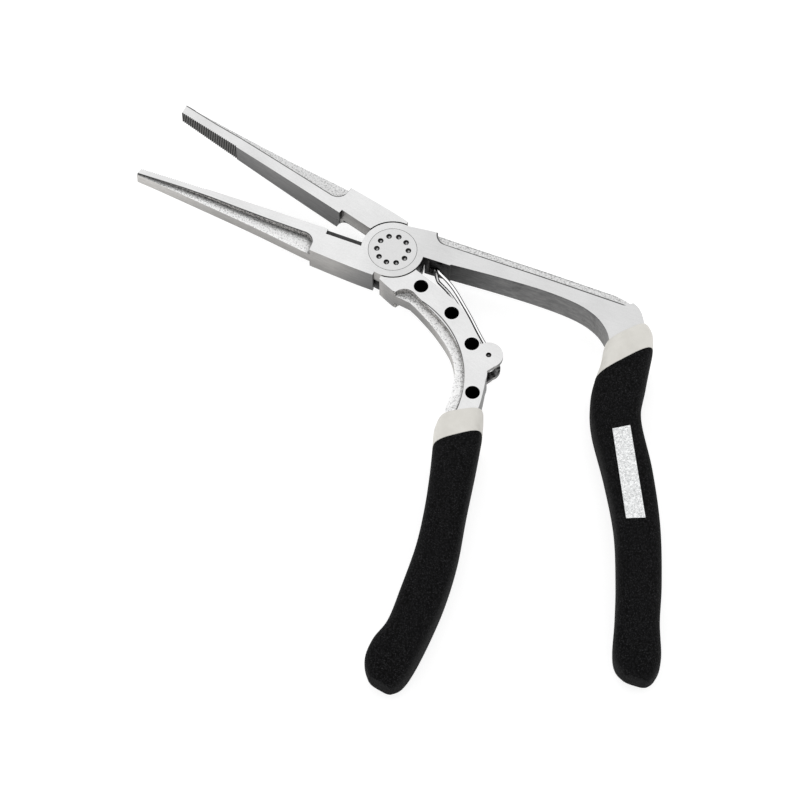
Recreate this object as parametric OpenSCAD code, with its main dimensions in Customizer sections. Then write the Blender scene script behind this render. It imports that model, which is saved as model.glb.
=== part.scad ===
// Long-nose fishing pliers with an offset pistol grip, spring-opened.
// Frame: +Z is the pivot axis, z = 0 is the flat rear face of the joint,
// the pivot is at x = y = 0, the jaws point to -X +Y and the grips to -Y.
// Both levers are drawn with the jaws closed along -X and then turned to rest.

/* [Joint] */
// Thickness of the metal at the joint
joint_t = 9; // [8:0.1:10]
// Radius of the round boss that each lever turns on
boss_r = 9.35; // [9:0.05:9.5]
// Gap between a boss and the shoulder that wraps it
shoulder_gap = 0.4; // [0.3:0.05:0.5]
// Gap between the two half-thickness layers, filled by the washer
layer_gap = 0.3; // [0.2:0.05:0.4]
// Radius of the flush screw head and of the nut
head_r = 7.15; // [6.5:0.05:7.3]
// Radius of the smooth journal between head and nut
journal_r = 3.5; // [3:0.1:4]

/* [Pose] */
// Angle that the front lever leans below -X at rest
front_lean = 22; // [0:1:40]
// Angle between the jaws at rest, held open by the spring
jaw_opening = 15.6; // [14:0.1:16]

/* [Jaws] */
// Distance from the pivot to the jaw tips
jaw_len = 80.6; // [76:0.2:84]
// Distance of each gripping face from the closed centre line
face_set = 0.5; // [0.4:0.05:0.6]
// Length of the toothed stretch at the tips
teeth_len = 21; // [15:1:24]
// Number of teeth on each jaw
teeth_n = 30; // [20:1:36]
// Depth of the teeth
teeth_d = 0.35; // [0.2:0.05:0.4]
// Half thickness of the jaws in the flutes
flute_half = 2; // [1.9:0.05:2.1]

/* [Arm] */
// Radius of the holes along the rear arm
arm_hole_r = 2.15; // [1.5:0.05:2.3]
// Radius of the lug that holds the spring
lug_r = 4.2; // [4:0.1:4.4]
// Width of the slot in the lug
lug_slot = 6.2; // [5.8:0.1:6.4]

/* [Spring] */
// Radius of the spring wire
wire_r = 0.55; // [0.45:0.05:0.6]
// Mean radius of the spring's coils
coil_r = 1.6; // [1.5:0.05:1.7]
// Radius of the pin in the coils
pin_r = 0.8; // [0.7:0.05:0.85]

/* [Grips] */
// Thickness of the grips
grip_t = 14.6; // [13.5:0.1:16]
// Thickness of the collars at their metal end
collar_t = 13.2; // [12.4:0.1:13.5]
// Squareness of the grip section, 2 is an ellipse
grip_square = 3.4; // [2.4:0.1:4]

/* [Hidden] */

zm = joint_t / 2;                       // mid plane between the two layers
layer_top = zm + layer_gap / 2;         // underside of the front boss
layer_low = zm - layer_gap / 2;         // top of the rear boss
shoulder_r = boss_r + shoulder_gap;
head_t = 2;                             // thickness of the screw head and the nut
head_gap = 0.1;                         // gap around the head and the nut
run_gap = 0.05;                         // running clearance on the journal
dimple_n = 10;                          // spanner dimples in head and nut
dimple_start = 17;
dimple_r = 0.85;
dimple_ring = 4.65;
dimple_d = 1;
pin_at = [43.9, -11.4];                 // spring pin, in the rear lever's own frame
cut_top = -2.3;                         // front half of the lower jaw at the cutter
anvil_y = 1.75;                         // edge of the ledge that the blade meets
blade_edge = 1.5;                       // cutting edge, above the closed centre line
ledge_back = 1;                         // how far the ledge reaches behind the mid plane
blade_x = [-21.3, -10];                 // outer and inner end of the blade
blade_t = 2;
notch_x = -20.3;                        // outer end of the cutter notch
tang_w = 6.5;                           // the bars inside the grips
tang_t = 5;
patch_t = 0.5;
rear_plate_inset = 0.6;                 // the lug's rear plate is a little smaller
leg_z = 2.4;                            // half distance between the spring's two legs
coil_z = 0.75;                          // height where each coil starts
coil_start = 221;
coil_turn = 562;
tail_len = 1.2;
leg_skew = 0.35;                        // the rear leg lies this much nearer the arm
tip_at = [12.8, 4.2];
ring_n = 24;                            // sides of the grip section and of the wire
wire_n = 8;
far = 200;

steel = [0.83, 0.83, 0.84];
dark_steel = [0.30, 0.30, 0.31];
black_rubber = [0.07, 0.07, 0.07];
warm_grey = [0.80, 0.79, 0.76];

// Catmull-Rom curve through points of any length, n steps between neighbours
function crom(a, b, c, d, t) =
    0.5 * (2 * b + (c - a) * t + (2 * a - 5 * b + 4 * c - d) * t * t
           + (3 * b - a - 3 * c + d) * t * t * t);
function curve(p, n = 4) = [
    for (i = [0 : len(p) - 2]) for (k = [0 : n - 1])
        crom(p[max(i - 1, 0)], p[i], p[i + 1], p[min(i + 2, len(p) - 1)], k / n),
    p[len(p) - 1]];
function arc(c, r, a0, a1, n) = [for (i = [0 : n]) let (a = a0 + (a1 - a0) * i / n)
    c + r * [cos(a), sin(a)]];
function flip(p) = [for (v = p) [v[0], -v[1]]];
function power(v, e) = sign(v) * pow(abs(v), e);

// ---- outlines, in the closed frame, lower jaw below the centre line ----
tooth = teeth_len / teeth_n;
jaw_teeth = [for (i = [0 : teeth_n - 1]) for (s = [0, 0.5])
    [-jaw_len + teeth_len - (i + s) * tooth, -face_set - 2 * s * teeth_d]];
function jaw_outline(back) = concat([[-2, -face_set]], jaw_teeth, [[-jaw_len, -face_set]],
    back, [[-2, -6]]);
lower_jaw = jaw_outline(concat([[-jaw_len - 0.6, -2.9]], curve([[-76, -3.3], [-60, -4.9],
    [-43, -6.7], [-30, -8.4], [-22.6, -9.3], [-9.2, -10.15], [-2.2, -10.3]])));
upper_jaw = jaw_outline(concat([[-jaw_len - 0.6, -3.5]], curve([[-76, -3.9], [-60, -5.3],
    [-43, -7.05], [-30, -8.7], [-22.6, -9.5], [-9.2, -10.25], [-2.2, -10.35]])));
flute_corner = arc([-26.3, -7.6], 3.5, 92, 0, 8);
lower_flute = concat([[-jaw_len - 2, -2.6], [-66, -2.6], [-57, -2.85], [-48, -3.4], [-36, -3.95]],
    flute_corner, [[-22.8, -12], [-jaw_len - 2, -12]]);
upper_flute = concat([[-80, -4.4], [-77.5, -3.5], [-69, -3.5], [-60, -3.85], [-40, -4]],
    flute_corner, [[-22.8, -12], [-80, -12]]);
handle_outline = concat([[5, 0.9], [17.6, 1.2]],
    curve([[17.9, 1.6], [33, 2.7], [47, 3.2], [57, 2.6], [63.5, 0.7], [67.8, -2.4],
        [69.9, -5.4], [71.3, -8.6]]),
    curve([[78.6, 0.8], [77.4, 3.7], [74.6, 7.6], [70.6, 9.5], [66, 10.3]]),
    [[9, 10.3], [1.6, 9.3], [1, 6]]);
handle_flute = concat(arc([13.8, 11], 3.6, 180, 270, 6), [[66, 7.6]],
    curve([[66, 7.6], [71, 8.2], [72.4, 9.5]]), [[71, 13], [9.8, 13]]);
arm_inner = curve([[9, -1.3], [19, -2], [26, -2.95], [29.5, -4], [33, -5.75], [38.7, -9],
    [43.5, -13.2], [47.1, -16.4], [48.3, -18.8], [50.1, -22.4], [51.9, -26.6], [52.6, -29.6]], 5);
arm_outer = curve([[46.2, -36.2], [44.4, -33], [42.1, -26.9], [39, -21.2], [34, -16.7], [26, -13.2],
    [18.5, -11.1], [14.4, -10.3]], 5);
arm_outline = concat([[5, -1.3]], arm_inner, arm_outer, [[8.6, -11.2], [5.6, -10.8],
    [3.1, -10.4], [2.4, -8]]);
arm_flute = concat([[8.6, -12]], arc([13.3, -11.6], 3.8, 176, 84, 7),
    curve([[17, -8.6], [25.5, -10.4], [32, -12.8], [38, -16.5], [43, -21.8], [46.2, -28], [47.4, -33]], 5),
    [[44, -36], [20, -30]]);
// webs that blend the front and rear plates of the lug into the arm
front_web = [[44, -12], [47.76, -12.63], [47.29, -14.26], [46.74, -15.94], [46.2, -17], [44, -15]];
rear_web = [[44, -12], [46.97, -13.5], [46.41, -15.66], [46.2, -17], [44, -15]];
channel = concat(curve([[13, -2], [19, -2.6], [26, -3.9], [31, -5.85], [35, -7.65], [38.7, -9.2],
    [43.5, -13.2], [47.3, -17.4]], 5), [[54, -17.4], [54, 2], [13, 2]]);
// cutter: notch in the lower jaw, ledge on the upper jaw and the hollow behind the ledge
notch = [[notch_x, 1.5], [notch_x, cut_top], [-6, cut_top], [-6, 1.5]];
ledge_cut = [[notch_x, -1], [notch_x, anvil_y], [-6, anvil_y], [-6, -1]];
hollow_cut = concat([[-21.65, 0]], arc([-19.3, 1.2], 2.2, 190, 90, 5), [[-6, 3.35], [-6, 0]]);
// room for the outer end of the blade, beside the ledge
blade_relief = [[-21.5, 0], [-21.5, 1.9], [-20.1, 1.9], [-20.1, 0]];
spring_pocket = [[10.8, -1], [10.8, 2.5], [12.2, 2.4], [17.4, 1], [17.4, -1]];

// half thickness along X, as [x, half thickness]
jaw_side = [[-jaw_len - 2, 2.25], [-66, 3.15], [-50, 3.8], [-36, 4.25], [-22, zm]];
front_side = concat(jaw_side, [[18, zm], [46, zm + 0.55], [90, zm + 0.55]]);
rear_side = concat(jaw_side, [[60, zm]]);
front_floor = [[-jaw_len - 2, flute_half], [-20, flute_half], [0, 2.7], [18, 2.7], [46, 3.25], [90, 3.25]];
rear_floor = [[-jaw_len - 2, flute_half], [-20, flute_half], [60, 2.3]];

// grip stations: left x, left y, right x, right y, thickness
front_mouth = [[68.8, -6.4, 78.1, 4.9, collar_t], [70, -12.5, 80.8, 2.2, collar_t + 0.6],
    [70.3, -18.1, 82.5, -2.2, grip_t - 0.6]];
front_hold = [[70.3, -18.1, 82.5, -2.2, grip_t - 0.6], [71.4, -24.5, 84.5, -13.3, grip_t],
    [75, -33, 87.2, -25, grip_t], [83.8, -46.4, 96.1, -39.8, grip_t],
    [92, -60.5, 104.2, -55.6, grip_t], [98, -75, 110.6, -72, grip_t],
    [102, -86.6, 114.4, -84, grip_t], [104.8, -96, 118.4, -94, grip_t],
    [107, -100.2, 118.6, -99.2, grip_t - 2.4], [110.4, -102.6, 117.3, -102.2, grip_t - 8]];
rear_mouth = [[44.5, -36, 53.4, -26.4, collar_t], [45.9, -40.2, 55.6, -29.4, collar_t + 0.4],
    [48.7, -44.5, 57.6, -32.6, grip_t - 1]];
rear_hold = [[48.7, -44.5, 57.6, -32.6, grip_t - 1], [53.4, -52, 62.7, -42.4, grip_t],
    [59.1, -62, 69, -55, grip_t], [64.4, -73, 76, -68.4, grip_t],
    [68.9, -85.6, 81, -80.9, grip_t], [72.3, -96.2, 84.4, -92.8, grip_t],
    [72.6, -103.5, 86.5, -102.6, grip_t], [74.4, -109.2, 86.9, -108.3, grip_t - 2.4],
    [78.4, -112.6, 85.6, -111.9, grip_t - 8]];
function station_mid(s) = [(s[0] + s[2]) / 2, (s[1] + s[3]) / 2];
front_tang_path = [for (s = concat([front_mouth[0], front_mouth[1]],
    [for (i = [0 : 6]) front_hold[i]])) station_mid(s)];
rear_tang_path = [for (s = concat([rear_mouth[0], rear_mouth[1]],
    [for (i = [0 : 5]) rear_hold[i]])) station_mid(s)];
patch_outline = [[81.3, -33.7], [85.6, -30.7], [99.9, -57], [94.9, -59.2]];
// one leg of the spring, from its coil to the loop
leg = [[44.63, -9.97], [42.4, -8.98], [40, -8.15], [36, -6.1], [32, -3.85], [28.3, -1.95],
    [23, 0.65], [19.2, 2.05], [15.2, 2.95]];

// ---- building blocks ----
// prism over an outline between two heights
module slab(pts, z0, z1) {
    translate([0, 0, z0]) linear_extrude(z1 - z0) polygon(pts);
}
// solid whose half thickness about the mid plane follows a profile along X
module side_solid(profile) {
    translate([0, far / 2, zm]) rotate([90, 0, 0]) linear_extrude(far)
        polygon(concat(profile, [for (i = [len(profile) - 1 : -1 : 0])
            [profile[i][0], -profile[i][1]]]));
}
// the part of a flute on both faces, down to its floor profile
module flute(pts, floor_profile) {
    difference() {
        slab(pts, -far / 8, far / 8);
        side_solid(floor_profile);
    }
}
// flat bar of constant width through the middle of the stations
module tang(path) {
    mids = curve(path, 3);
    last = len(mids) - 1;
    side = [for (i = [0 : last]) let (d = mids[min(i + 1, last)] - mids[max(i - 1, 0)])
        tang_w / 2 * [-d[1], d[0]] / norm(d)];
    slab(concat([for (i = [0 : last]) mids[i] + side[i]],
        [for (i = [last : -1 : 0]) mids[i] - side[i]]), zm - tang_t / 2, zm + tang_t / 2);
}
// rounded-box skin lofted through stations
function ring(s) = [for (k = [0 : ring_n - 1])
    let (a = 360 * k / ring_n, u = power(cos(a), 2 / grip_square), v = power(sin(a), 2 / grip_square),
         half = [s[2] - s[0], s[3] - s[1]] / 2, mid = station_mid(s))
    [mid[0] + half[0] * u, mid[1] + half[1] * u, zm + s[4] / 2 * v]];
module skin(stations, n = 3) {
    rings = [for (s = curve(stations, n)) ring(s)];
    last = len(rings) - 1;
    polyhedron([for (r = rings) each r], concat(
        [[for (k = [0 : ring_n - 1]) k]],
        [for (i = [0 : last - 1]) for (k = [0 : ring_n - 1]) let (j = (k + 1) % ring_n)
            [i * ring_n + k, (i + 1) * ring_n + k, (i + 1) * ring_n + j, i * ring_n + j]],
        [[for (k = [ring_n - 1 : -1 : 0]) last * ring_n + k]]), convexity = 6);
}
// spanner dimples in a face at height z, opening upwards
module dimples(z) {
    for (i = [0 : dimple_n - 1]) rotate(dimple_start + i * 360 / dimple_n)
        translate([dimple_ring, 0, z - dimple_d]) {
            cylinder(h = dimple_d + 1, r = dimple_r, $fn = 32);
            translate([0, 0, -0.4]) cylinder(h = 0.4, r1 = 0.05, r2 = dimple_r, $fn = 32);
        }
}
module at_front() { rotate(-front_lean) children(); }
module at_rear() { rotate(-front_lean - jaw_opening) children(); }

// ---- sub-parts ----
// lower jaw, front boss, straight handle and the bar inside its grip
module front_lever() {
    color(steel) at_front() {
        difference() {
            union() {
                intersection() {
                    union() {
                        difference() {
                            slab(lower_jaw, -far / 8, far / 8);
                            slab(notch, zm, far);
                        }
                        slab(handle_outline, -far / 8, far / 8);
                        translate([0, 0, layer_top]) cylinder(h = zm, r = boss_r, $fn = 96);
                    }
                    side_solid(front_side);
                }
                tang(front_tang_path);
            }
            translate([0, 0, -far / 2]) cylinder(h = far / 2 + layer_top, r = shoulder_r, $fn = 96);
            flute(lower_flute, front_floor);
            flute(handle_flute, front_floor);
            translate([blade_x[0], -3.2, zm - blade_t]) cube([blade_x[1] - blade_x[0], 5, blade_t]);
            slab(spring_pocket, zm - 3.2, zm + 3.2);
            translate([0, 0, joint_t - head_t]) cylinder(h = far, r = head_r + head_gap, $fn = 96);
            cylinder(h = far, r = journal_r, $fn = 64);
        }
    }
}
// upper jaw, rear boss, curved arm with its holes and lug, and the bar inside its grip
module rear_lever() {
    color(steel) at_rear() {
        difference() {
            union() {
                intersection() {
                    union() {
                        difference() {
                            slab(flip(upper_jaw), -1, far / 8);
                            slab(ledge_cut, zm - ledge_back, far);
                            slab(hollow_cut, -far, zm - ledge_back + 0.1);
                            slab(blade_relief, -far, zm + 0.15);
                        }
                        slab(arm_outline, -1, far / 8);
                        slab(front_web, zm, far / 8);
                        slab(rear_web, -1, zm);
                        translate([pin_at[0], pin_at[1], zm]) cylinder(h = far / 8, r = lug_r, $fn = 64);
                        translate([pin_at[0], pin_at[1], -1])
                            cylinder(h = zm + 1, r = lug_r - rear_plate_inset, $fn = 64);
                        translate([0, 0, -1]) cylinder(h = layer_low + 1, r = boss_r, $fn = 96);
                    }
                    side_solid(rear_side);
                }
                tang(rear_tang_path);
            }
            translate([0, 0, layer_low]) cylinder(h = far, r = shoulder_r, $fn = 96);
            flute(flip(upper_flute), rear_floor);
            flute(arm_flute, rear_floor);
            for (p = [[14.3, -4.9], [26.9, -6.7], [37.8, -11.4], [47.7, -24.2]])
                translate([p[0], p[1], -1]) cylinder(h = far, r = arm_hole_r, $fn = 48);
            slab(channel, zm - lug_slot / 2, zm + lug_slot / 2);
            translate([pin_at[0], pin_at[1], zm - lug_slot / 2])
                cylinder(h = lug_slot, r = coil_r + wire_r + 0.85, $fn = 48);
            translate([pin_at[0], pin_at[1], -1]) cylinder(h = far, r = pin_r, $fn = 32);
            translate([0, 0, -far + head_t]) cylinder(h = far, r = head_r + head_gap, $fn = 96);
            translate([0, 0, -1]) cylinder(h = far, r = journal_r + run_gap, $fn = 64);
        }
    }
}
// flush head with spanner dimples, journal and threaded end
module pivot_screw() {
    color(steel) at_front() difference() {
        union() {
            translate([0, 0, joint_t - head_t]) cylinder(h = head_t, r = head_r, $fn = 96);
            translate([0, 0, head_t]) cylinder(h = joint_t - 2 * head_t, r = journal_r, $fn = 64);
            translate([0, 0, 0.35]) cylinder(h = head_t, r = journal_r - 1, $fn = 48);
        }
        dimples(joint_t);
    }
}
// flush round nut on the rear face
module pivot_nut() {
    color(steel) at_front() difference() {
        cylinder(h = head_t - 0.05, r = head_r, $fn = 96);
        mirror([0, 0, 1]) dimples(0);
        translate([0, 0, 0.3]) cylinder(h = far, r = journal_r - 1, $fn = 48);
    }
}
// thin bronze washer between the two bosses
module pivot_washer() {
    color([0.72, 0.55, 0.32]) translate([0, 0, layer_low + 0.02]) difference() {
        cylinder(h = layer_gap - 0.04, r = boss_r - 0.5, $fn = 96);
        translate([0, 0, -1]) cylinder(h = 3, r = journal_r + run_gap, $fn = 64);
    }
}
// hardened line-cutter blade, set into the rear half of the lower jaw
module cutter_blade() {
    color(dark_steel) at_front() translate([blade_x[1], 0, zm]) rotate([90, 0, -90])
        linear_extrude(blade_x[1] - blade_x[0])
            polygon([[3.2, -blade_t], [3.2, 0], [-blade_edge, 0], [-blade_edge, -0.15], [-0.3, -blade_t]]);
}
module spring_pin() {
    color(dark_steel) at_rear() translate([pin_at[0], pin_at[1], 0.5])
        cylinder(h = joint_t - 1, r = pin_r, $fn = 32);
}
// double torsion spring: two coils on the pin joined by a long loop
function coil_pt(t) = let (a = coil_start + coil_turn * t)
    [pin_at[0] + coil_r * cos(a), pin_at[1] + coil_r * sin(a), coil_z + (leg_z - coil_z) * t];
spring_half = concat(
    [let (p = coil_pt(0)) [p[0] - 0.66 * tail_len, p[1] + 0.75 * tail_len, p[2]]],
    [for (i = [0 : 17]) coil_pt(i / 18)],
    [for (p = curve(leg, 2)) [p[0], p[1], leg_z]],
    [for (i = [1 : 4]) let (a = 90 * i / 4, b = leg[len(leg) - 1])
        [b[0] + (tip_at[0] - b[0]) * sin(a), b[1] + (tip_at[1] - b[1]) * sin(a), leg_z * cos(a)]]);
function skew(x) = leg_skew * min(max((34 - x) / 12, 0), 1);
spring_path = concat(spring_half, [for (i = [len(spring_half) - 2 : -1 : 0]) let (p = spring_half[i])
    [p[0], p[1] - skew(p[0]) * min(p[2] / leg_z, 1), -p[2]]]);
function unit(v) = v / norm(v);
// frames carried along the path without twist, as [tangent, normal]
function carry(p, i, nrm) = let (d = unit(p[min(i + 1, len(p) - 1)] - p[max(i - 1, 0)]),
    m = unit(nrm - (nrm * d) * d)) i == len(p) - 1 ? [[d, m]] : concat([[d, m]], carry(p, i + 1, m));
module return_spring() {
    frames = carry(spring_path, 0, [0, 0, 1]);
    last = len(spring_path) - 1;
    color(steel) at_rear() translate([0, 0, zm]) polyhedron(
        [for (i = [0 : last]) let (d = frames[i][0], m = frames[i][1], b = cross(d, m))
            for (k = [0 : wire_n - 1]) let (a = 360 * k / wire_n)
                spring_path[i] + wire_r * (cos(a) * m + sin(a) * b)],
        concat([[for (k = [wire_n - 1 : -1 : 0]) k]],
            [for (i = [0 : last - 1]) for (k = [0 : wire_n - 1]) let (j = (k + 1) % wire_n)
                [i * wire_n + k, i * wire_n + j, (i + 1) * wire_n + j, (i + 1) * wire_n + k]],
            [[for (k = [0 : wire_n - 1]) last * wire_n + k]]), convexity = 10);
}
module front_collar() {
    color(warm_grey) at_front() difference() {
        skin(front_mouth);
        tang(front_tang_path);
        intersection() {
            slab(handle_outline, -far / 8, far / 8);
            side_solid(front_side);
        }
    }
}
module patch_box(h) {
    slab(patch_outline, zm + grip_t / 2 - patch_t, zm + grip_t / 2 + h);
}
module front_grip() {
    color(black_rubber) at_front() difference() {
        skin(front_hold);
        tang(front_tang_path);
        patch_box(2);
    }
}
// plain printed panel on the face of the front grip
module grip_patch() {
    color([0.75, 0.76, 0.78]) at_front() patch_box(0);
}
module rear_collar() {
    color(warm_grey) at_rear() difference() {
        skin(rear_mouth);
        tang(rear_tang_path);
        intersection() {
            slab(arm_outline, -1, far / 8);
            side_solid(rear_side);
        }
    }
}
module rear_grip() {
    color(black_rubber) at_rear() difference() {
        skin(rear_hold);
        tang(rear_tang_path);
    }
}

front_lever();
rear_lever();
pivot_screw();
pivot_nut();
pivot_washer();
cutter_blade();
spring_pin();
return_spring();
front_collar();
front_grip();
grip_patch();
rear_collar();
rear_grip();
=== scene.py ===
import math

import bpy
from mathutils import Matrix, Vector


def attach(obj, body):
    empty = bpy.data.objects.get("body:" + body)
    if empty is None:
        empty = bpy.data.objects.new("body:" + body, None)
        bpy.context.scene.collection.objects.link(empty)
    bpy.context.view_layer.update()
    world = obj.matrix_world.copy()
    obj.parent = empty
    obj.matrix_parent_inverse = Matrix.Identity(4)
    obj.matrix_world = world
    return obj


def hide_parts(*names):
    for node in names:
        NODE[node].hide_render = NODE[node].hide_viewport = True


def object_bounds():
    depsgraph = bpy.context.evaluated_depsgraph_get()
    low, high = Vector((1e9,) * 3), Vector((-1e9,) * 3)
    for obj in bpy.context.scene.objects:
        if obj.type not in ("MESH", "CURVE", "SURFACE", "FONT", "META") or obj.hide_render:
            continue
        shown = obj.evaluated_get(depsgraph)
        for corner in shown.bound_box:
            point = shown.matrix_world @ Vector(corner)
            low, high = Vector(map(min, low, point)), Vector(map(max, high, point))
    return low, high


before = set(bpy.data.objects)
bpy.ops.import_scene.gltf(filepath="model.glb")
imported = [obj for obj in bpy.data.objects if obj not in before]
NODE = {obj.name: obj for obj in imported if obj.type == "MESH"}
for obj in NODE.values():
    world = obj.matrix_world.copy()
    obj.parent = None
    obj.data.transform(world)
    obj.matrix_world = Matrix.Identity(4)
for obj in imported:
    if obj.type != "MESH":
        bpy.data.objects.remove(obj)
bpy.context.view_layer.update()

MM = 0.001
ZM = 4.5                      # mid plane of the pliers, mm
FRONT_LEAN = 22.0             # rest angle of the front lever, degrees
REAR_LEAN = 37.6              # rest angle of the rear lever
GRIP_T = 14.6
COLLAR_T = 13.2


def turned(x, y, lean):
    a = math.radians(-lean)
    return x * math.cos(a) - y * math.sin(a), x * math.sin(a) + y * math.cos(a)


# ---------------------------------------------------------------- node graphs
class Graph:
    """A material's node tree, built with short calls; numbers become constants."""

    def __init__(self, name):
        self.mat = bpy.data.materials.new(name)
        self.mat.use_nodes = True
        self.tree = self.mat.node_tree
        self.tree.nodes.clear()

    def add(self, kind, inputs=(), out=0, **props):
        node = self.tree.nodes.new(kind)
        for key, value in props.items():
            setattr(node, key, value)
        for key, value in dict(inputs).items():
            socket = node.inputs[key]
            if isinstance(value, bpy.types.NodeSocket):
                self.tree.links.new(value, socket)
            else:
                socket.default_value = value
        return node.outputs[out]

    def math(self, op, a, b=0.0, c=0.0):
        return self.add("ShaderNodeMath", {0: a, 1: b, 2: c}, operation=op)

    def mul(self, *values):
        total = values[0]
        for v in values[1:]:
            total = self.math("MULTIPLY", total, v)
        return total

    def top(self, *values):
        best = values[0]
        for v in values[1:]:
            best = self.math("MAXIMUM", best, v)
        return best

    def minus(self, a):
        return self.math("SUBTRACT", 1.0, a)

    def ramp(self, x, lo, hi, a=0.0, b=1.0, smooth=False):
        kind = "SMOOTHSTEP" if smooth else "LINEAR"
        return self.add("ShaderNodeMapRange",
                        {"Value": x, "From Min": lo, "From Max": hi, "To Min": a, "To Max": b},
                        interpolation_type=kind, clamp=True)

    def mix(self, fac, a, b):
        """Colours or numbers, blended by fac."""
        colour = any(isinstance(v, tuple) or (isinstance(v, bpy.types.NodeSocket)
                                              and v.type == "RGBA") for v in (a, b))
        node = self.tree.nodes.new("ShaderNodeMix")
        node.data_type = "RGBA" if colour else "FLOAT"
        pair = (6, 7) if colour else (2, 3)
        for index, value in ((0, fac), (pair[0], a), (pair[1], b)):
            if isinstance(value, bpy.types.NodeSocket):
                self.tree.links.new(value, node.inputs[index])
            elif isinstance(value, tuple):
                node.inputs[index].default_value = (*value[:3], 1.0)
            else:
                node.inputs[index].default_value = value
        return node.outputs[2 if colour else 0]

    def grey(self, value):
        return self.add("ShaderNodeCombineColor", {0: value, 1: value, 2: value})

    def object_mm(self, lean=0.0):
        """Object position in mm, turned into a lever's own frame, as x, y, z."""
        coords = self.add("ShaderNodeTexCoord", out=3)
        local = self.add("ShaderNodeMapping",
                         {0: coords, 2: (0.0, 0.0, math.radians(lean)), 3: (1000.0,) * 3})
        node = self.tree.nodes.new("ShaderNodeSeparateXYZ")
        self.tree.links.new(local, node.inputs[0])
        return local, node.outputs[0], node.outputs[1], node.outputs[2]

    def object_normal(self, lean=0.0):
        """Surface direction in a lever's own frame; it turns with the piece, not the world."""
        coords = self.add("ShaderNodeTexCoord", out=1)
        local = self.add("ShaderNodeMapping", {0: coords, 2: (0.0, 0.0, math.radians(lean))})
        node = self.tree.nodes.new("ShaderNodeSeparateXYZ")
        self.tree.links.new(local, node.inputs[0])
        return node.outputs[0], node.outputs[1], node.outputs[2]

    def noise(self, vector, scale, detail=2.0, rough=0.5):
        return self.add("ShaderNodeTexNoise",
                        {"Vector": vector, "Scale": scale, "Detail": detail, "Roughness": rough})

    def bump(self, height, distance, strength=1.0, normal=None):
        inputs = {"Height": height, "Distance": distance * MM, "Strength": strength}
        if normal is not None:
            inputs["Normal"] = normal
        return self.add("ShaderNodeBump", inputs)

    def shader(self, **inputs):
        names = {"color": "Base Color", "metal": "Metallic", "rough": "Roughness",
                 "normal": "Normal", "spec": "Specular IOR Level", "sheen": "Sheen Weight",
                 "glow": "Emission Color", "glow_power": "Emission Strength"}
        bsdf = self.tree.nodes.new("ShaderNodeBsdfPrincipled")
        for key, value in inputs.items():
            socket = bsdf.inputs[names[key]]
            if isinstance(value, bpy.types.NodeSocket):
                self.tree.links.new(value, socket)
            elif isinstance(value, tuple):
                socket.default_value = (*value[:3], 1.0)
            else:
                socket.default_value = value
        out = self.tree.nodes.new("ShaderNodeOutputMaterial")
        self.tree.links.new(bsdf.outputs[0], out.inputs[0])
        return self.mat


# ---------------------------------------------------------------- materials
ARM_ROUND = (17.6, -39.7, 30.8)   # circle that the wall of the arm's flute follows


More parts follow.
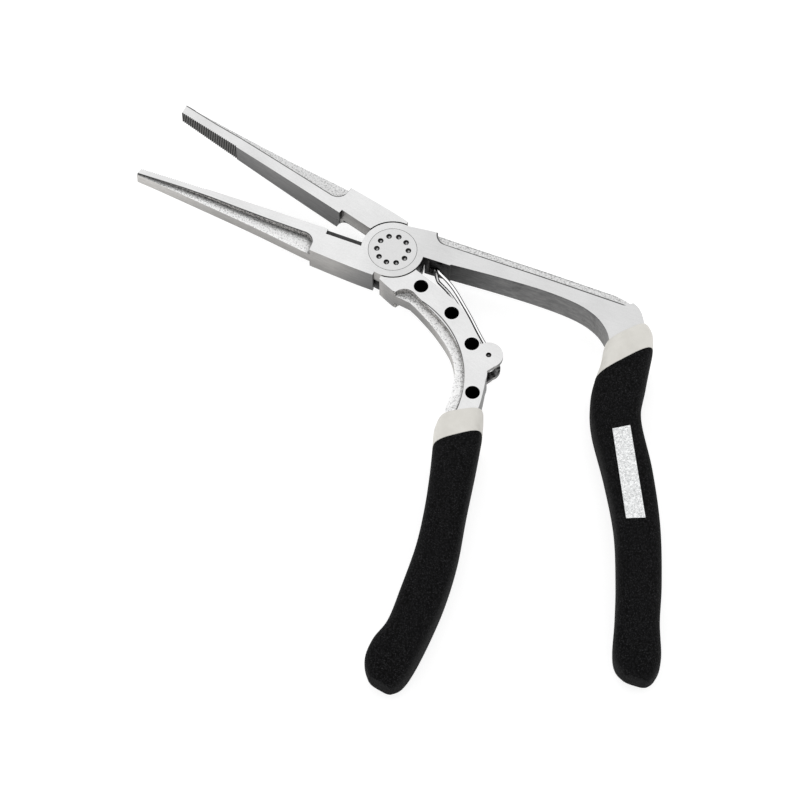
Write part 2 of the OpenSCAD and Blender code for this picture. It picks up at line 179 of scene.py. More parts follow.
def lever_metal(name, lean, half_steps, regions, low_gap_shade, holes=()):
    """Satin forged steel: bright ground faces, rough-cast flutes, brushed sides painted darker as shade; the
    regions add painted light and shade per lever.
    """
    g = Graph(name)
    pos, x, y, z = g.object_mm(lean)
    nx, ny, nz = g.object_normal(lean)
    face = g.ramp(g.math("ABSOLUTE", nz), 0.55, 0.9, smooth=True)
    wall = g.minus(face)
    rise = g.math("SUBTRACT", z, ZM)
    height = g.math("ABSOLUTE", rise)
    half = 2.25
    for lo, hi, step in half_steps:
        half = g.math("ADD", half, g.ramp(x, lo, hi, 0.0, step))
    depth = g.math("SUBTRACT", half, height)
    facing = g.mul(nz, rise)
    floor = g.mul(face, g.ramp(facing, 0.5, 1.2), g.ramp(depth, 0.1, 0.2))
    inward = g.mul(face, g.ramp(facing, 0.2, -0.05))

    shade, flute_wall, cove, rim, ground, floor_light_lift = regions(g, x, y, rise, height, nx, ny)

    # satin ground face: very fine grain with faint long scratches
    grain = g.noise(pos, 2.4, 3.0, 0.7)
    strokes = g.noise(g.add("ShaderNodeMapping", {0: pos, 3: (0.25, 3.2, 3.2)}), 1.0, 3.0, 0.6)
    cloud = g.noise(pos, 0.09, 3.0, 0.5)
    bright = g.math("ADD", g.ramp(grain, 0.3, 0.7, 0.68, 0.76), g.ramp(cloud, 0.3, 0.7, -0.03, 0.03))
    bright = g.math("ADD", bright, g.ramp(strokes, 0.3, 0.7, -0.02, 0.02))
    # painted light: the ground face is made brighter or darker along the lever's length
    bright = g.mul(bright, ground)

    # rough-cast stipple on the flute floors; on the flute walls it is coarser and carries painted shade,
    # darker with depth and at the wall's foot
    pits = g.noise(pos, 2.0, 3.0, 0.75)
    coarse = g.noise(pos, 0.8, 2.0, 0.6)
    cast = g.ramp(pits, 0.36, 0.5, 0.40, 0.80)
    cast = g.mul(cast, g.ramp(coarse, 0.3, 0.6, 0.92, 1.0))
    wall_cast_shade = g.ramp(pits, 0.42, 0.58, 0.08, 0.60)
    foot = g.ramp(height, 2.55, 2.25)
    wall_cast_shade = g.mul(wall_cast_shade, g.ramp(depth, 0.3, 0.1, 1.0, 0.25), g.mix(foot, 1.0, 0.3))

    # sides: brushed along the length, and painted darker than the faces as shade
    side = g.mul(g.ramp(strokes, 0.3, 0.7, 0.30, 0.40), g.ramp(grain, 0.3, 0.7, 0.9, 1.08))
    value = g.mix(face, g.mul(side, shade), bright)
    # painted shadow lines on the face along the flute edges
    value = g.mix(g.mul(face, rim, g.minus(floor)), value, 0.08)
    # flute floors: cast stipple, with painted shadow near the wall and painted light lifting the rest
    cove = g.math("SUBTRACT", cove, g.ramp(pits, 0.35, 0.65, -0.25, 0.25))
    shadow = g.mul(g.ramp(pits, 0.40, 0.56, 0.14, 0.78), g.ramp(cove, 0.0, 0.3, 0.45, 1.0))
    floor_cast_and_shade = g.math("MINIMUM", g.mul(g.mix(g.ramp(cove, 0.35, 0.8), shadow, cast), floor_light_lift), 1.0)
    value = g.mix(floor, value, floor_cast_and_shade)
    # flute walls: cast stipple with painted shade
    value = g.mix(g.mul(wall, flute_wall), value, wall_cast_shade)
    # faces turned toward the mid plane, such as the slot floor in the lug, get painted shade with lighter
    # specks
    value = g.mix(inward, value, g.ramp(coarse, 0.4, 0.62, 0.015, 0.28))
    # bores stay near black; the walls of the narrow gap round the boss get painted shade, near black above
    # and the given value below the boss
    flat = g.add("ShaderNodeCombineXYZ", {0: x, 1: y})
    radius = g.add("ShaderNodeVectorMath", {0: flat}, out=1, operation="LENGTH")
    gap = g.mul(g.ramp(radius, 9.15, 9.25), g.ramp(radius, 9.95, 9.88), wall)
    below = g.mul(g.ramp(y, -4.0, -6.0), g.ramp(x, -4.5, -3.5))
    value = g.mix(gap, value, g.mix(below, 0.015, low_gap_shade))
    bores = 0.0
    for hx, hy, hr in holes:
        far = g.add("ShaderNodeVectorMath", {0: flat, 1: (hx, hy, 0.0)}, out=1,
                    operation="DISTANCE")
        bores = g.math("ADD", bores, g.mul(g.ramp(far, hr + 0.25, hr + 0.1), wall))
    value = g.mix(bores, value, 0.002)
    warm = g.mix(g.mul(wall, g.ramp(value, 0.12, 0.3)), (1.0, 1.0, 1.0), (1.0, 0.975, 0.945))
    color = g.add("ShaderNodeVectorMath", {0: g.grey(value), 1: warm}, operation="MULTIPLY")
    cast_all = g.top(floor, g.mul(wall, flute_wall))
    relief = g.math("ADD", g.mul(pits, cast_all, 0.35), g.mul(grain, g.minus(cast_all), 0.012))
    relief = g.math("ADD", relief, g.mul(strokes, g.minus(cast_all), 0.02))
    rough = g.mix(cast_all, g.ramp(grain, 0.3, 0.7, 0.36, 0.5), 0.6)
    return g.shader(color=color, metal=g.mix(bores, 0.9, 0.0), rough=rough, spec=0.0,
                    normal=g.bump(relief, 1.0, 0.7))


def corner_distance(g, x, y, cx, cy, radius):
    """Depth inside a straight edge that ends in a rounded corner of the given radius."""
    away = g.add("ShaderNodeCombineXYZ", {0: g.math("MAXIMUM", g.math("SUBTRACT", x, cx), 0.0),
                                          1: g.math("MAXIMUM", g.math("SUBTRACT", y, cy), 0.0)})
    return g.math("SUBTRACT", radius, g.add("ShaderNodeVectorMath", {0: away}, out=1,
                                            operation="LENGTH"))


def steps(g, x, first, *pieces):
    """A value that changes along x: first, then (from, to, change) pieces."""
    total = first
    for lo, hi, change in pieces:
        total = g.math("ADD", total, g.ramp(x, lo, hi, 0.0, change))
    return total


def line(g, value, half_width):
    """1 within half_width of zero, soft at its edges."""
    return g.ramp(g.math("ABSOLUTE", value), half_width, half_width * 0.5)


def rear_regions(g, x, y, rise, height, nx, ny):
    """Upper jaw and arm: painted shade on the gripping face, with its teeth painted as lit and shaded flanks;
    cast walls in both flutes; painted light and shade on the arm's sides.
    """
    jaw = g.ramp(x, -8.5, -9.5)
    # painted shade on the gripping face, darker towards the bottom
    inner = g.mul(g.ramp(y, 2.6, 1.9), jaw)
    along = g.mul(steps(g, x, 0.44, (-60, -45, 0.05), (-45, -24, -0.12)),
                  g.ramp(rise, -4.0, 4.0, 0.72, 1.18))
    # teeth: one flank painted lit, the next painted in shade
    phase = g.math("FRACT", g.math("DIVIDE", g.math("ADD", x, 80.6), 0.7))
    tooth = g.mul(g.ramp(phase, 0.05, 0.2, 0.85, 0.03), g.ramp(phase, 0.7, 0.85, 1.0, 28.0))
    along = g.mix(g.ramp(x, -59.2, -59.8), along, tooth)
    shade = g.mix(inner, 1.0, along)
    # cutter: the ground ledge gets painted light to a mid grey; the hollow behind it and the step get painted
    # shade
    ledge = g.mul(g.ramp(x, -20.6, -20.2), jaw, g.ramp(rise, -1.2, -0.9), g.ramp(y, 1.5, 1.7),
                  g.ramp(y, 2.1, 1.9))
    shade = g.mix(ledge, shade, 0.95)
    behind = g.mul(g.ramp(x, -20.9, -20.5), jaw)
    shade = g.mix(g.mul(behind, g.ramp(rise, -0.85, -1.0)), shade, 0.06)
    step = g.mul(behind, g.ramp(x, -19.8, -20.1), g.ramp(nx, 0.4, 0.7))
    shade = g.mix(step, shade, 0.04)
    # arm sides: painted light on walls turned one way, brightest mid arm and towards the top; painted shade
    # on walls turned the other way
    arm = g.ramp(x, 4.0, 6.0)
    away = g.math("SUBTRACT", g.mul(nx, -0.55), g.mul(ny, 0.83))
    outer = steps(g, x, 0.78, (8, 16, -0.10), (20, 34, 0.62), (36, 44, -0.25))
    outer = g.mul(outer, g.ramp(rise, -2.5, 3.0, 0.8, 1.1))
    shade = g.mix(g.mul(arm, g.ramp(away, 0.2, 0.5)), shade, outer)
    shade = g.mix(g.mul(arm, g.ramp(away, -0.1, -0.4)), shade, 0.42)
    jaw_wall = g.mul(g.ramp(x, -22.4, -22.9), g.ramp(y, 2.2, 2.5), g.ramp(height, 2.0, 2.1))
    arm_wall = g.mul(g.ramp(x, 8.6, 9.2), g.ramp(height, 2.2, 2.35), g.ramp(away, 0.1, 0.3))
    # cove: how far a floor point lies inside the arm flute's wall; near the wall the floor gets painted
    # shadow
    around = g.add("ShaderNodeVectorMath", {0: g.add("ShaderNodeCombineXYZ", {0: x, 1: y}),
                                            1: (*ARM_ROUND[:2], 0.0)}, out=1, operation="DISTANCE")
    inside = g.math("SUBTRACT", ARM_ROUND[2], around)
    cove = g.ramp(inside, 0.2, 1.8, 0.25, 1.0)
    cove = g.top(cove, g.ramp(x, 4.0, 2.0))
    # painted shadow lines along the edges of the arm flute and the jaw flute
    arm_edge_shadow = g.mul(line(g, g.math("ADD", inside, 0.12), 0.22), g.ramp(x, 16.0, 18.0))
    edge = steps(g, x, -3.5, (-69, -60, -0.35), (-60, -40, -0.15), (-40, -27, -0.1))
    up = g.math("SUBTRACT", g.mul(y, -1.0), g.math("ADD", edge, 4.1))
    jaw_edge_shadow = line(g, corner_distance(g, x, up, -26.3, -7.6, 3.6), 0.22)
    jaw_edge_shadow = g.mul(jaw_edge_shadow, g.ramp(x, -22.6, -22.9))
    # painted light: brightness of the ground face, stepped along the length
    ground = steps(g, x, 0.97, (-60, -45, -0.02), (-35, -22, 0.04), (-8, 4, -0.02))
    # painted light lifting the flute floors, more on the arm
    floor_light_lift = steps(g, x, 1.0, (4, 14, 0.5), (34, 44, -0.15))
    return shade, g.top(jaw_wall, arm_wall), cove, g.top(arm_edge_shadow, jaw_edge_shadow), ground, floor_light_lift


def front_regions(g, x, y, rise, height, nx, ny):
    """Lower jaw and handle: painted shade on the handle's inner face, black fading to grey at the bend;
    painted light on the lower jaw's outer side.
    """
    # painted shade on the handle's inner face, with patchy streaks and darker near its top edge
    inner = g.mul(g.ramp(y, 6.2, 4.4), g.ramp(x, 3.0, 5.0), g.ramp(ny, -0.2, -0.5))
    patchy = g.noise(g.add("ShaderNodeCombineXYZ", {0: g.mul(x, 0.35), 1: y, 2: rise}), 0.9, 4.0, 0.7)
    along = steps(g, x, 0.025, (15, 34, 0.37), (34, 62, 0.06))
    along = g.mul(along, g.ramp(patchy, 0.35, 0.65, 0.8, 1.25), g.ramp(rise, 5.0, 4.0, 0.7, 1.0))
    # painted light on the lower jaw's outer side: brightest at the tip, dimming toward the pivot and towards
    # the bottom
    outer = g.mul(g.ramp(y, -2.0, -2.6), g.ramp(x, -0.5, -1.5))
    side = g.mul(steps(g, x, 1.45, (-75, -52, -0.5), (-16, -3, -0.5)), g.ramp(rise, -4.5, 2.0, 0.78, 1.08))
    lit = g.mix(outer, 1.0, side)
    jaw_wall = g.mul(g.ramp(x, -22.4, -22.9), g.ramp(y, -2.2, -2.5), g.ramp(height, 2.0, 2.1))
    floor_level = g.ramp(x, 18.0, 46.0, 2.7, 3.25)
    bar_wall = g.mul(g.ramp(x, 9.8, 10.4), g.ramp(y, 6.6, 7.0),
                     g.math("GREATER_THAN", g.math("SUBTRACT", height, floor_level), 0.05))
    shade = g.mix(inner, lit, along)
    # painted shade on the end wall of the notch by the blade
    notch_end = g.mul(line(g, g.math("ADD", x, 20.3), 0.4), g.ramp(nx, 0.3, 0.6), g.ramp(rise, -0.1, 0.1))
    shade = g.mix(notch_end, shade, 0.12)
    edge = steps(g, x, -2.6, (-66, -57, -0.25), (-57, -48, -0.55), (-48, -36, -0.55), (-36, -27, -0.15))
    # inside and cove: distance from the lower jaw flute's wall; near the wall the floor gets painted shadow
    inside = corner_distance(g, x, g.math("SUBTRACT", y, g.math("ADD", edge, 4.1)), -26.3, -7.6, 3.5)
    cove = g.ramp(inside, 0.2, 2.4)
    cove = g.top(cove, g.ramp(x, -10.0, -5.0))
    # painted shadow lines along the jaw, bar and end edges of the flutes
    jaw_edge_shadow = g.mul(line(g, g.math("ADD", inside, 0.1), 0.2), g.ramp(x, -22.6, -22.9))
    bar_edge_shadow = g.mul(line(g, g.math("SUBTRACT", y, 7.32), 0.24), g.ramp(x, 13.5, 14.0), g.ramp(x, 70.5, 69.5))
    end = g.add("ShaderNodeVectorMath", {0: g.add("ShaderNodeCombineXYZ", {0: x, 1: y}),
                                         1: (13.8, 11.0, 0.0)}, out=1, operation="DISTANCE")
    end_edge_shadow = g.mul(line(g, g.math("SUBTRACT", end, 3.75), 0.3), g.ramp(x, 14.0, 13.5), g.ramp(x, 4.0, 5.0),
                    g.ramp(y, 7.0, 7.3))
    # cove is cut short at the handle flute's outer rim, so painted shadow reaches it too
    cove = g.mul(cove, g.mix(g.mul(g.ramp(y, 9.7, 10.0), g.ramp(x, 5.0, 9.0)), 1.0, 0.3))
    # painted light: brightness of the ground face, stepped along the length
    ground = steps(g, x, 1.0, (-8, 4, -0.13), (4, 30, -0.01))
    # painted light lifting the lower jaw's flute floors
    floor_light_lift = steps(g, x, 1.4, (-20, -8, -0.4))
    return shade, g.top(jaw_wall, bar_wall), cove, g.top(jaw_edge_shadow, bar_edge_shadow, end_edge_shadow), ground, floor_light_lift


DIMPLE_START = 17.0 - FRONT_LEAN   # first dimple, turned with the front lever
DIMPLE_PITCH = 36.0
DIMPLE_R = 4.65


def turned_metal(name, top_z, sign):
    """Turned steel: faint rings round the axis; the dimples get painted shade with a painted glint near their
    centre.
    """
    g = Graph(name)
    pos, x, y, z = g.object_mm()
    radius = g.add("ShaderNodeVectorMath", {0: g.add("ShaderNodeCombineXYZ", {0: x, 1: y})},
                   out=1, operation="LENGTH")
    grain = g.noise(pos, 3.6, 3.0, 0.7)
    rings = g.add("ShaderNodeTexNoise", {"W": g.mul(radius, 5.0), "Scale": 1.0, "Detail": 3.0},
                  noise_dimensions="1D")
    depth = g.mul(g.math("SUBTRACT", top_z, z), sign)
    value = g.math("ADD", g.ramp(grain, 0.3, 0.7, 0.60, 0.66), g.ramp(rings, 0.3, 0.7, -0.02, 0.02))
    turn = g.math("SUBTRACT", g.math("ARCTAN2", y, x), math.radians(DIMPLE_START))
    nearest = g.math("ROUND", g.math("DIVIDE", turn, math.radians(DIMPLE_PITCH)))
    angle = g.math("ADD", g.math("MULTIPLY", nearest, math.radians(DIMPLE_PITCH)), math.radians(DIMPLE_START))
    # painted glint: a bright spot in each dimple, a little off its centre
    spot = g.add("ShaderNodeCombineXYZ", {
        0: g.math("ADD", g.mul(g.math("COSINE", angle), DIMPLE_R), 0.12),
        1: g.math("ADD", g.mul(g.math("SINE", angle), DIMPLE_R), 0.42)})
    away = g.add("ShaderNodeVectorMath", {0: g.add("ShaderNodeCombineXYZ", {0: x, 1: y}), 1: spot},
                 out=1, operation="DISTANCE")
    # dimple walls painted near black as shade, apart from the painted glint
    dimple = g.ramp(depth, 0.06, 0.16)
    value = g.mix(dimple, value, g.ramp(away, 0.36, 0.2, 0.004, 0.95))
    rim = g.mul(g.ramp(radius, 7.05, 7.14), g.ramp(radius, 7.5, 7.3))
    value = g.mix(rim, value, 0.5)
    height = g.math("ADD", g.mul(rings, 0.3), g.mul(grain, 0.3))
    return g.shader(color=g.grey(value), metal=g.mix(dimple, 0.92, 0.0),
                    rough=g.ramp(rings, 0.3, 0.7, 0.34, 0.46),
                    normal=g.bump(height, 0.03, 0.7))


def blade_metal():
    g = Graph("blade_steel_ground")
    pos, _, y, _ = g.object_mm(FRONT_LEAN)
    strokes = g.noise(g.add("ShaderNodeMapping", {0: pos, 3: (9.0, 0.6, 0.6)}), 1.6, 4.0, 0.65)
    heat = g.noise(pos, 0.5, 2.0)
    edge = g.ramp(y, 1.1, 1.5)
    value = g.math("ADD", g.ramp(strokes, 0.3, 0.7, 0.03, 0.065), g.ramp(heat, 0.3, 0.7, -0.01, 0.01))
    value = g.mix(edge, value, 0.10)
    return g.shader(color=g.grey(value), metal=1.0, rough=g.ramp(strokes, 0.3, 0.7, 0.3, 0.5),
                    normal=g.bump(strokes, 0.03, 0.6))


def wire_metal(name="spring_wire_drawn", dark=0.01):
    """Bright drawn wire with fine draw lines and a painted reflection: white where the surface faces up and a
    little toward -y, dark along both flanks.
    """
    g = Graph(name)
    pos = g.object_mm()[0]
    _, ny, nz = g.object_normal()
    lines = g.noise(pos, 3.0, 3.0, 0.6)
    # painted reflection: brightness set by the way the surface faces
    level = g.math("ADD", g.mul(nz, 0.872), g.mul(ny, -0.489))
    painted_reflection = g.ramp(g.math("ABSOLUTE", level), 0.62, 0.84, dark, 0.93, smooth=True)
    value = g.mul(painted_reflection, g.ramp(lines, 0.3, 0.7, 0.93, 1.05))
    return g.shader(color=g.grey(value), metal=1.0, rough=g.ramp(lines, 0.3, 0.7, 0.2, 0.32),
                    normal=g.bump(lines, 0.02, 0.4))


def pin_metal():
    """Pin steel painted near black as shade, with one painted glint on its hollow end."""
    g = Graph("pin_steel_painted_shade")
    pos, x, y, _ = g.object_mm(REAR_LEAN)
    spot = g.add("ShaderNodeVectorMath", {0: g.add("ShaderNodeCombineXYZ", {0: x, 1: y}),
                                          1: (43.85, -11.35, 0.0)}, out=1, operation="DISTANCE")
    grain = g.noise(pos, 3.0, 3.0, 0.6)
    # near black painted shade, with a painted glint at the spot
    value = g.mix(g.ramp(spot, 0.36, 0.2), g.ramp(grain, 0.3, 0.7, 0.006, 0.016), 0.14)
    return g.shader(color=g.grey(value), metal=0.9, rough=g.ramp(grain, 0.3, 0.7, 0.35, 0.55),
                    normal=g.bump(grain, 0.03, 0.5))


def bronze_metal():
    g = Graph("washer_bronze")
    pos = g.object_mm()[0]
    spots = g.noise(pos, 1.5, 4.0, 0.6)
    color = g.mix(g.ramp(spots, 0.35, 0.65), (0.42, 0.26, 0.11), (0.62, 0.42, 0.20))
    return g.shader(color=color, metal=1.0, rough=g.ramp(spots, 0.3, 0.7, 0.32, 0.5),
                    normal=g.bump(spots, 0.02, 0.5))


def collar_rubber():
    """Warm grey moulded rubber, faint mottling and handling marks."""
    g = Graph("collar_warm_grey")
    pos = g.object_mm()[0]
    fine = g.noise(pos, 5.0, 3.0, 0.6)
    cloud = g.noise(pos, 0.18, 4.0, 0.6)
    color = g.mix(g.ramp(cloud, 0.3, 0.7), (0.60, 0.585, 0.545), (0.68, 0.665, 0.625))
    speck = g.ramp(g.noise(pos, 3.4, 2.0), 0.68, 0.74)
    color = g.mix(g.mul(speck, 0.25), color, (0.42, 0.40, 0.37))
    height = g.math("ADD", g.mul(fine, 0.5), g.mul(cloud, 0.6))
    return g.shader(color=color, metal=0.0, rough=g.ramp(fine, 0.3, 0.7, 0.5, 0.62), spec=0.3,
                    normal=g.bump(height, 0.05, 0.6))


def grip_rubber():
    """Black moulded grip with a fine pebbled grain; the grain tips are painted lighter as a highlight."""
    g = Graph("grip_black_grain")
    pos = g.object_mm()[0]
    cells = g.add("ShaderNodeTexVoronoi", {"Vector": pos, "Scale": 1.9, "Randomness": 1.0},
                  feature="F1")
    fine = g.noise(pos, 3.4, 3.0, 0.75)
    cloud = g.noise(pos, 0.14, 3.0, 0.5)
    grain = g.math("ADD", g.ramp(cells, 0.0, 0.6, 1.0, 0.0), g.mul(fine, 0.8))
    # painted highlight on the grain tips
    tips = g.mul(g.ramp(fine, 0.48, 0.62), g.ramp(cells, 0.8, 0.25))
    color = g.mix(tips, (0.001, 0.001, 0.001), (0.034, 0.034, 0.036))
    color = g.mix(g.ramp(cloud, 0.35, 0.7, 0.0, 0.3), color, (0.004, 0.004, 0.0045))
    return g.shader(color=color, metal=0.0, rough=g.ramp(fine, 0.3, 0.7, 0.65, 0.9), spec=0.06,
                    normal=g.bump(grain, 0.10, 0.9))


def print_silver():
    """Plain printed panel: silver flecks in a pale binder, with fine dark specks."""
    g = Graph("print_silver_fleck")
    pos = g.object_mm()[0]
    flakes = g.add("ShaderNodeTexVoronoi", {"Vector": pos, "Scale": 2.6, "Randomness": 1.0},
                   out=1, feature="F1")
    level = g.add("ShaderNodeSeparateColor", {0: flakes})
    specks = g.noise(pos, 3.2, 3.0, 0.7)
    value = g.ramp(level, 0.0, 1.0, 0.52, 1.0)
    value = g.mix(g.ramp(specks, 0.58, 0.68), value, 0.16)
    return g.shader(color=g.mix(0.12, g.grey(value), (0.55, 0.62, 0.64)), metal=0.35,
                    rough=g.ramp(level, 0.0, 1.0, 0.35, 0.6), normal=g.bump(level, 0.04, 0.6))


# ---------------------------------------------------------------- mesh helpers
def crom(a, b, c, d, t):
    return [0.5 * (2 * q + (r - p) * t + (2 * p - 5 * q + 4 * r - s) * t * t
                   + (3 * q - p - 3 * r + s) * t ** 3) for p, q, r, s in zip(a, b, c, d)]


def curve(points, n):
    out = []
    last = len(points) - 1
    for i in range(last):
        quad = [points[max(i - 1, 0)], points[i], points[i + 1], points[min(i + 2, last)]]
        out += [crom(*quad, k / n) for k in range(n)]
    return out + [list(points[last])]


def power(v, e):
    return math.copysign(abs(v) ** e, v)


def new_piece(name, verts, faces, body, material, nodes, smooth=True):
    mesh = bpy.data.meshes.new(name)
    mesh.from_pydata([tuple(c * MM for c in v) for v in verts], [], faces)
    mesh.validate()
    mesh.update()
    if smooth:
        mesh.polygons.foreach_set("use_smooth", [True] * len(mesh.polygons))
    obj = bpy.data.objects.new(name, mesh)
    bpy.context.scene.collection.objects.link(obj)
    mesh.materials.append(material)
    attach(obj, body)
    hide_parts(*nodes)
    return obj


RING = 72


def ring(s, lean, square=3.4):
    """Rounded-box ring through a station of left x, y, right x, y and thickness."""
    mid = ((s[0] + s[2]) / 2, (s[1] + s[3]) / 2)
    half = ((s[2] - s[0]) / 2, (s[3] - s[1]) / 2)
    out = []
    for k in range(RING):
        a = 2 * math.pi * k / RING
        u, v = power(math.cos(a), 2 / square), power(math.sin(a), 2 / square)
        x, y = turned(mid[0] + half[0] * u, mid[1] + half[1] * u, lean)
        out.append((x, y, ZM + s[4] / 2 * v))
    return out


def loft(name, rings, body, material, nodes):
    """Closed skin through rings, each end closed by a fan round its middle."""
    verts = [v for r in rings for v in r]
    faces = []
    for i in range(len(rings) - 1):
        for k in range(RING):
            j = (k + 1) % RING
            faces.append((i * RING + k, (i + 1) * RING + k, (i + 1) * RING + j, i * RING + j))
    for end in (0, len(rings) - 1):
        mid = [sum(c) / RING for c in zip(*rings[end])]
        verts.append(tuple(mid))
        hub = len(verts) - 1
        for k in range(RING):
            j = (k + 1) % RING
            pair = (end * RING + k, end * RING + j)
            faces.append((hub, *(pair if end == 0 else pair[::-1])))
    return new_piece(name, verts, faces, body, material, nodes)


def grip_skin(name, stations, lean, body, nodes, material, ends):
    """Grip or collar: a loft whose end edges are softened by a small radius."""
    path = curve(stations, 12)
    rings = [ring(s, lean) for s in path]
    for at_start, radius in ends:
        base = rings[0] if at_start else rings[-1]
        near = rings[1] if at_start else rings[-2]
        mid = Vector([sum(c) / RING for c in zip(*base)])
        inward = (Vector([sum(c) / RING for c in zip(*near)]) - mid).normalized()
        width = min((Vector(v) - mid).length for v in base)
        caps = []
        for i in range(6):
            a = math.radians(90 * i / 6)          # 0 at the flat end, 90 at the skin
            scale = 1 - radius * (1 - math.sin(a)) / width
            shift = inward * radius * (1 - math.cos(a))
            caps.append([tuple(mid + (Vector(v) - mid) * scale + shift) for v in base])
        skip = 1 + int(radius / max((Vector(near[0]) - Vector(base[0])).length, 0.05))
        body_rings = rings[skip:] if at_start else rings[:-skip]
        rings = caps + body_rings if at_start else body_rings + caps[::-1]
    return loft(name, rings, body, material, nodes)


def tube(name, points, radius, body, material, nodes, sides=14):
    """Round wire swept along points, with domed ends."""
    pts = [Vector(p) for p in points]
    tangents = [(pts[min(i + 1, len(pts) - 1)] - pts[max(i - 1, 0)]).normalized()
                for i in range(len(pts))]
    normal = Vector((0, 0, 1))
    verts, faces = [], []
    rows = []
    for p, t in zip(pts, tangents):
        normal = (normal - normal.dot(t) * t).normalized()
        side = t.cross(normal)
        rows.append((p, normal.copy(), side, t))
    first, last = rows[0], rows[-1]
    dome = [(math.sin(math.radians(a)), math.cos(math.radians(a))) for a in (15, 40, 65)]
    full = [(first[0] - first[3] * radius * 0.5 * c, first[1], first[2], radius * s) for s, c in dome]
    full += [(p, n, b, radius) for p, n, b, _ in rows]
    full += [(last[0] + last[3] * radius * 0.5 * c, last[1], last[2], radius * s)
             for s, c in reversed(dome)]
    for p, n, b, r in full:
        for k in range(sides):
            a = 2 * math.pi * k / sides
            verts.append(tuple(p + r * (math.cos(a) * n + math.sin(a) * b)))
    for i in range(len(full) - 1):
        for k in range(sides):
            j = (k + 1) % sides
            faces.append((i * sides + k, i * sides + j, (i + 1) * sides + j, (i + 1) * sides + k))
    faces.append(tuple(range(sides))[::-1])
    faces.append(tuple((len(full) - 1) * sides + k for k in range(sides)))
    return new_piece(name, verts, faces, body, material, nodes)


def soften(obj, width, material, angle=28, segments=2):
    """Welds the import's split edges, breaks the sharp ones and assigns the finish."""
    weld = obj.modifiers.new("weld", "WELD")
    weld.merge_threshold = 1e-6
    bevel = obj.modifiers.new("edge_break", "BEVEL")
    bevel.width = width * MM
    bevel.segments = segments
    bevel.limit_method = "ANGLE"
    bevel.angle_limit = math.radians(angle)
    bevel.harden_normals = False
    bevel.use_clamp_overlap = True
    obj.data.materials.clear()
    obj.data.materials.append(material)


# ---------------------------------------------------------------- metal parts
JAW_STEPS = [(-82.6, -66, 0.9), (-66, -50, 0.65), (-50, -36, 0.45), (-36, -22, 0.25)]
FRONT_STEPS = JAW_STEPS + [(18, 46, 0.55)]
ARM_HOLE_R, PIN_R = 2.15, 0.8
PIN_AT = (43.9, -11.4)
ARM_HOLES = [(14.3, -4.9, ARM_HOLE_R), (26.9, -6.7, ARM_HOLE_R), (37.8, -11.4, ARM_HOLE_R),
             (47.7, -24.2, ARM_HOLE_R), (*PIN_AT, PIN_R)]
front_metal = lever_metal("satin_steel_front", FRONT_LEAN, FRONT_STEPS, front_regions, 0.4)
rear_metal = lever_metal("satin_steel_rear", REAR_LEAN, JAW_STEPS, rear_regions, 0.015,
                         ARM_HOLES)
soften(NODE["front_lever"], 0.12, front_metal)
soften(NODE["rear_lever"], 0.12, rear_metal)
soften(NODE["pivot_screw"], 0.06, turned_metal("turned_steel_head", 9.0, 1.0))
soften(NODE["pivot_nut"], 0.06, turned_metal("turned_steel_nut", 0.0, -1.0))
soften(NODE["pivot_washer"], 0.02, bronze_metal())
soften(NODE["cutter_blade"], 0.04, blade_metal())
soften(NODE["spring_pin"], 0.08, pin_metal())

# ---------------------------------------------------------------- return spring
COIL_R, LEG_Z, COIL_Z, TAIL, SKEW = 1.6, 2.4, 0.75, 1.2, 0.35
COIL_START, COIL_TURN = 221, 562   # degrees
WIRE_R = 0.55
LEG = [(44.63, -9.97), (42.4, -8.98), (40, -8.15), (36, -6.1), (32, -3.85), (28.3, -1.95),
       (23, 0.65), (19.2, 2.05), (15.2, 2.95)]
TIP = (12.8, 4.2)


def coil_point(t):
    a = math.radians(COIL_START + COIL_TURN * t)
    return [PIN_AT[0] + COIL_R * math.cos(a), PIN_AT[1] + COIL_R * math.sin(a),
            COIL_Z + (LEG_Z - COIL_Z) * t]


start = coil_point(0)
half_path = [[start[0] - 0.66 * TAIL, start[1] + 0.75 * TAIL, start[2]]]
half_path += [coil_point(i / 40) for i in range(40)]
half_path += [[p[0], p[1], LEG_Z] for p in curve([list(p) for p in LEG], 6)]
for step in range(1, 9):
    a = math.radians(90 * step / 8)
    half_path.append([LEG[-1][0] + (TIP[0] - LEG[-1][0]) * math.sin(a),
                      LEG[-1][1] + (TIP[1] - LEG[-1][1]) * math.sin(a), LEG_Z * math.cos(a)])
whole_path = half_path + [[p[0], p[1] - SKEW * min(max((34 - p[0]) / 12, 0), 1)
                           * min(p[2] / LEG_Z, 1), -p[2]] for p in half_path[-2::-1]]
whole_path = [(*turned(p[0], p[1], REAR_LEAN), ZM + p[2]) for p in whole_path]
tube("spring_wire_loop", whole_path, WIRE_R, "spring", wire_metal(), ["return_spring"])

# ---------------------------------------------------------------- grips and collars
FRONT_MOUTH = [[68.8, -6.4, 78.1, 4.9, COLLAR_T], [70, -12.5, 80.8, 2.2, COLLAR_T + 0.6],
               [70.3, -18.1, 82.5, -2.2, GRIP_T - 0.6]]
FRONT_HOLD = [[70.3, -18.1, 82.5, -2.2, GRIP_T - 0.6], [71.4, -24.5, 84.5, -13.3, GRIP_T],
              [75, -33, 87.2, -25, GRIP_T], [83.8, -46.4, 96.1, -39.8, GRIP_T],
              [92, -60.5, 104.2, -55.6, GRIP_T], [98, -75, 110.6, -72, GRIP_T],
              [102, -86.6, 114.4, -84, GRIP_T], [104.8, -96, 118.4, -94, GRIP_T],
              [107, -100.2, 118.6, -99.2, GRIP_T - 2.4], [110.4, -102.6, 117.3, -102.2, GRIP_T - 8]]
REAR_MOUTH = [[44.5, -36, 53.4, -26.4, COLLAR_T], [45.9, -40.2, 55.6, -29.4, COLLAR_T + 0.4],
              [48.7, -44.5, 57.6, -32.6, GRIP_T - 1]]
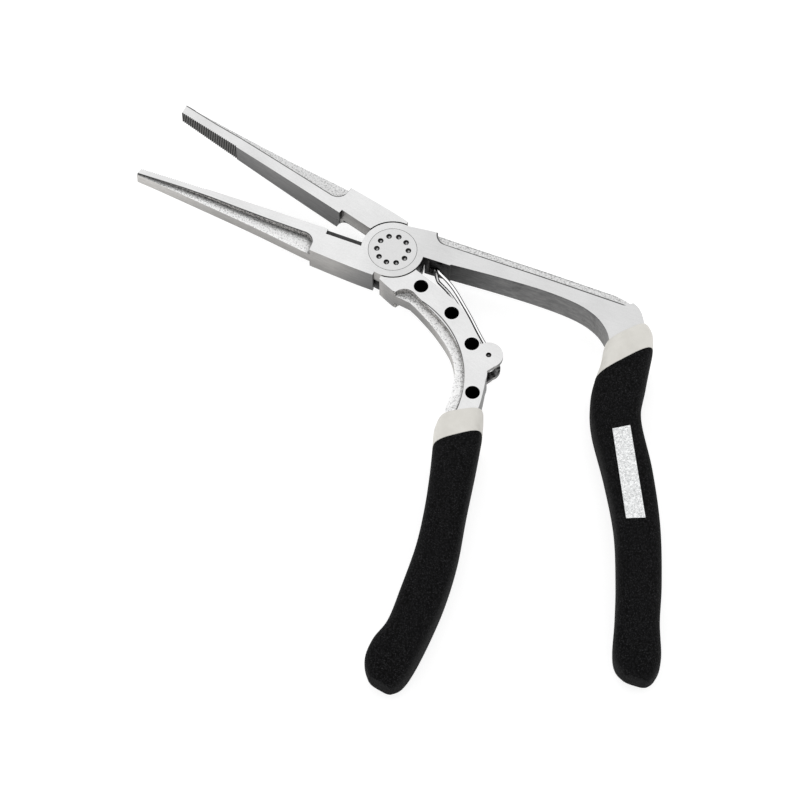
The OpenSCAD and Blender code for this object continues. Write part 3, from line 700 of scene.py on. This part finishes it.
REAR_HOLD = [[48.7, -44.5, 57.6, -32.6, GRIP_T - 1], [53.4, -52, 62.7, -42.4, GRIP_T],
             [59.1, -62, 69, -55, GRIP_T], [64.4, -73, 76, -68.4, GRIP_T],
             [68.9, -85.6, 81, -80.9, GRIP_T], [72.3, -96.2, 84.4, -92.8, GRIP_T],
             [72.6, -103.5, 86.5, -102.6, GRIP_T], [74.4, -109.2, 86.9, -108.3, GRIP_T - 2.4],
             [78.4, -112.6, 85.6, -111.9, GRIP_T - 8]]
rubber, collar = grip_rubber(), collar_rubber()
grip_skin("front_collar_skin", FRONT_MOUTH, FRONT_LEAN, "front", ["front_collar"], collar,
          [(True, 0.7)])
grip_skin("rear_collar_skin", REAR_MOUTH, REAR_LEAN, "rear", ["rear_collar"], collar,
          [(True, 0.7)])
grip_skin("front_grip_skin", FRONT_HOLD, FRONT_LEAN, "front", ["front_grip"], rubber,
          [(True, 0.25), (False, 0.35)])
grip_skin("rear_grip_skin", REAR_HOLD, REAR_LEAN, "rear", ["rear_grip"], rubber,
          [(True, 0.25), (False, 0.35)])

# printed panel: a thin flat plate set into the face of the front grip
PATCH = [(81.3, -33.7), (85.6, -30.7), (99.9, -57), (94.9, -59.2)]


def patch_piece():
    cols, rows = 10, 48
    top = ZM + GRIP_T / 2 + 0.04
    verts, faces = [], []
    for level in (0, 1):
        for i in range(rows + 1):
            for j in range(cols + 1):
                u, v = j / cols, i / rows
                x = ((1 - u) * (1 - v) * PATCH[0][0] + u * (1 - v) * PATCH[1][0]
                     + u * v * PATCH[2][0] + (1 - u) * v * PATCH[3][0])
                y = ((1 - u) * (1 - v) * PATCH[0][1] + u * (1 - v) * PATCH[1][1]
                     + u * v * PATCH[2][1] + (1 - u) * v * PATCH[3][1])
                verts.append((*turned(x, y, FRONT_LEAN), top - 0.9 * level))
    n = (rows + 1) * (cols + 1)
    w = cols + 1
    for i in range(rows):
        for j in range(cols):
            a = i * w + j
            faces.append((a, a + 1, a + w + 1, a + w))
            faces.append((n + a, n + a + w, n + a + w + 1, n + a + 1))
    edge = ([j for j in range(w)] + [i * w + cols for i in range(1, rows + 1)]
            + [rows * w + j for j in range(cols - 1, -1, -1)]
            + [i * w for i in range(rows - 1, 0, -1)])
    for a, b in zip(edge, edge[1:] + edge[:1]):
        faces.append((b, a, n + a, n + b))
    return new_piece("grip_panel_print", verts, faces, "front", print_silver(),
                     ["grip_patch"], smooth=False)


patch_piece()

# ---------------------------------------------------------------- stage, light, camera
scene = bpy.context.scene
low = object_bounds()[0].z
floor_mesh = bpy.data.meshes.new("studio_floor")
floor_mesh.from_pydata([(x, y, low - 0.0002) for x, y in ((-4, -4), (4, -4), (4, 4), (-4, 4))], [],
                       [(0, 1, 2, 3)])
floor = bpy.data.objects.new("studio_floor", floor_mesh)
scene.collection.objects.link(floor)
g = Graph("studio_paper")
paper = g.ramp(g.noise(g.object_mm()[0], 0.05, 3.0), 0.3, 0.7, 0.38, 0.40)
floor_mesh.materials.append(g.shader(color=g.grey(paper), rough=0.9, spec=0.1, glow=(1.0, 1.0, 1.0),
                                     glow_power=0.74))

world = bpy.data.worlds.new("soft_studio")
scene.world = world
world.use_nodes = True
background = world.node_tree.nodes["Background"]
background.inputs[0].default_value = (1.0, 1.0, 1.0, 1.0)
background.inputs[1].default_value = 1.0


def softbox(name, location, size, power):
    data = bpy.data.lights.new(name, "AREA")
    data.shape = "RECTANGLE"
    data.size, data.size_y = size
    data.energy = power
    lamp = bpy.data.objects.new(name, data)
    lamp.location = location
    target = Vector((0.02, -0.05, 0.0))
    lamp.rotation_euler = (Vector(location) - target).to_track_quat("Z", "Y").to_euler()
    scene.collection.objects.link(lamp)


softbox("overhead_softbox", (0.1, 0.5, 1.4), (1.6, 1.2), 1.6)
softbox("left_softbox", (-1.2, -0.2, 0.9), (0.8, 0.8), 0.8)

camera = bpy.data.objects.new("photo_camera", bpy.data.cameras.new("photo_camera"))
camera.data.lens = 164.45
camera.data.sensor_width = 36.0
camera.data.sensor_fit = "HORIZONTAL"
camera.data.clip_start = 0.05
camera.data.clip_end = 20.0
camera.data.dof.use_dof = False
VIEW_ELEVATION = 60.7
VIEW_DISTANCE = 1.05
elevation = math.radians(VIEW_ELEVATION)
aim = Vector((2.18, -50.79, 9.0)) * MM
camera.location = aim + Vector((0.0, -math.cos(elevation), math.sin(elevation))) * VIEW_DISTANCE
camera.rotation_euler = (math.radians(90 - VIEW_ELEVATION), 0.0, 0.0)
scene.collection.objects.link(camera)
scene.camera = camera
scene.view_settings.view_transform = "Standard"
scene.view_settings.look = "None"

bpy.context.view_layer.update()
